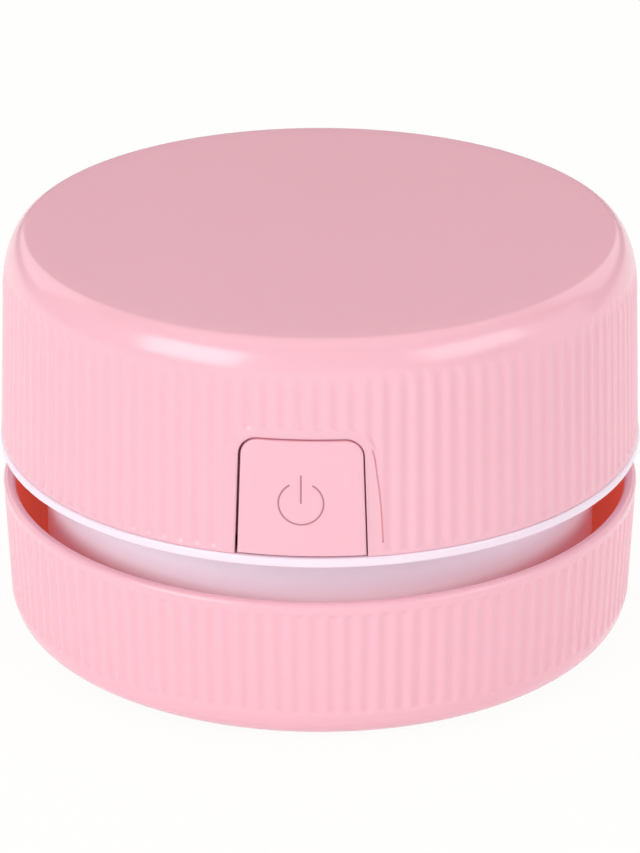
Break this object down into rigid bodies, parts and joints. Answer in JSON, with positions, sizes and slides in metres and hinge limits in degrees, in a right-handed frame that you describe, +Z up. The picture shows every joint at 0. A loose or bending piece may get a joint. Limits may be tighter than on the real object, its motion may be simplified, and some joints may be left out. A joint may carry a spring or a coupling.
{
  "type": "desktop crumb vacuum",
  "caption": "Small round desk vacuum with a ribbed cap and base, a power button tile, and a motor housing that twists and lifts off its dust bin.",
  "frame": {"origin": "centre of the foot ring, on the table", "axes": "+Z up along the round body's axis; the power button faces -Y and the charging socket +Y"},
  "size_m": [0.0884, 0.0884, 0.0566],
  "materials": {
    "bin_abs": "moulded ABS tub, glossy white",
    "black_nylon": "black moulded nylon",
    "board_fr4": "green glass laminate",
    "bush_bronze": "sintered bronze",
    "cell_wrap": "blue shrink wrap on a metal cell",
    "ferrite": "dark ferrite",
    "filter_cloth": "fine woven polyester mesh",
    "header_nylon": "off-white nylon",
    "lamp_clear": "clear acrylic light guide",
    "lead_pvc_black": "black PVC insulation",
    "lead_pvc_red": "red PVC insulation",
    "motor_steel": "zinc plated drawn steel",
    "nylon_bristle": "black nylon bristle",
    "pink_abs": "moulded ABS, soft gloss, blush pink",
    "plunger_red": "red acetal",
    "rotor_iron": "iron stack with copper winding",
    "screw_steel": "zinc plated steel",
    "seal_rubber": "soft grey silicone",
    "shaft_steel": "ground steel",
    "socket_steel": "drawn stainless steel",
    "spring_steel": "spring wire",
    "tab_nickel": "nickel strip",
    "terminal_brass": "tinned brass",
    "white_abs": "moulded ABS, glossy white",
    "white_pom": "acetal, satin white"
  },
  "bodies": {
    "base": {"base_shell": "pink_abs", "dust_bin": "bin_abs", "bin_floor": "bin_abs", "bay_plate": "bin_abs", "inlet_duct": "bin_abs", "bin_screws": "screw_steel", "brush_ring": "white_abs", "brush_tufts": "nylon_bristle"},
    "seal": {"bin_seal": "seal_rubber"},
    "housing": {"inner_housing": "white_abs", "white_ring": "white_abs", "housing_collar": "white_abs", "motor_seat": "white_abs", "board_posts": "white_abs", "shroud_posts": "white_abs", "top_cap": "pink_abs", "cap_screws": "screw_steel", "fan_shroud": "white_abs", "bayonet_hooks": "white_abs", "shroud_screws": "screw_steel", "motor_can": "motor_steel", "motor_end_cap": "black_nylon", "motor_terminals": "terminal_brass", "motor_bushes": "bush_bronze", "motor_magnets": "ferrite", "motor_screws": "screw_steel", "battery_cell": "cell_wrap", "battery_cradle": "black_nylon", "cell_tabs": "tab_nickel", "control_board": "board_fr4", "charge_board": "board_fr4", "board_screws": "screw_steel", "board_chips": "black_nylon", "lead_headers": "header_nylon", "usb_socket": "socket_steel", "charge_lamp": "lamp_clear", "power_switch": "black_nylon", "button_guide": "white_pom", "button_spring": "spring_steel", "motor_leads": "lead_pvc_red", "cell_leads": "lead_pvc_black"},
    "fan": {"impeller": "white_pom", "motor_shaft": "shaft_steel", "motor_rotor": "rotor_iron"},
    "button": {"power_button": "pink_abs", "switch_plunger": "plunger_red"},
    "filter": {"filter_frame": "white_pom", "filter_mesh": "filter_cloth"}
  },
  "joints": [
    {"name": "twist", "type": "hinge", "parent": "base", "child": "seal", "pos_m": [0, 0, 0], "axis": [0, 0, 1], "range_deg": [-18, 0]},
    {"name": "lift", "type": "slide", "parent": "seal", "child": "housing", "axis": [0, 0, 1], "range_m": [0, 0.045]},
    {"name": "filter_pull", "type": "slide", "parent": "housing", "child": "filter", "axis": [0, 0, -1], "range_m": [0, 0.003]},
    {"name": "power_press", "type": "slide", "parent": "housing", "child": "button", "axis": [0, 1, 0], "range_m": [0, 0.001], "stiffness_N_per_m": 700, "springref_m": -0.0008, "deforming": ["button_spring"]},
    {"name": "fan_spin", "type": "hinge", "parent": "housing", "child": "fan", "pos_m": [0, 0, 0], "axis": [0, 0, 1], "continuous": true}
  ]
}
